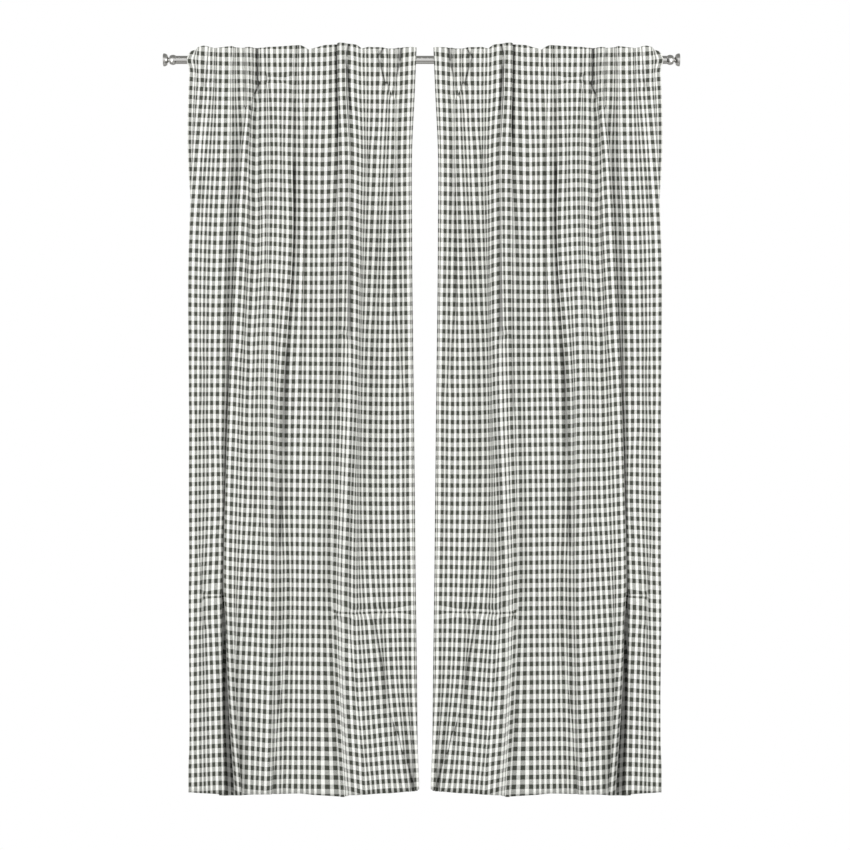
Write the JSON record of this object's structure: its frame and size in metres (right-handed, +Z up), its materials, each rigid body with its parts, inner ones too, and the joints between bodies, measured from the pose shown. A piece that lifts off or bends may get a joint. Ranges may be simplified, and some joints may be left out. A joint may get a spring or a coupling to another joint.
{
  "type": "pair of gathered curtain panels on a round rod with turned finials",
  "caption": "Two long checked cotton panels with rod-pocket tops, hanging in soft uneven folds from one straight round metal rod with a turned finial at each end.",
  "frame": {"origin": "middle of the rod, on its axis", "axes": "+Z up, +X along the rod to the viewer's right, -Y out into the room, +Y towards the wall"},
  "size_m": [1.4876, 0.1105, 2.16],
  "materials": {
    "gingham_cotton": "woven grey-green and off-white check, matte",
    "polished_chrome": "polished"
  },
  "bodies": {
    "root": {"curtain_left": "gingham_cotton", "curtain_right": "gingham_cotton", "rod": "polished_chrome", "finial_left": "polished_chrome", "finial_right": "polished_chrome"}
  },
  "joints": []
}
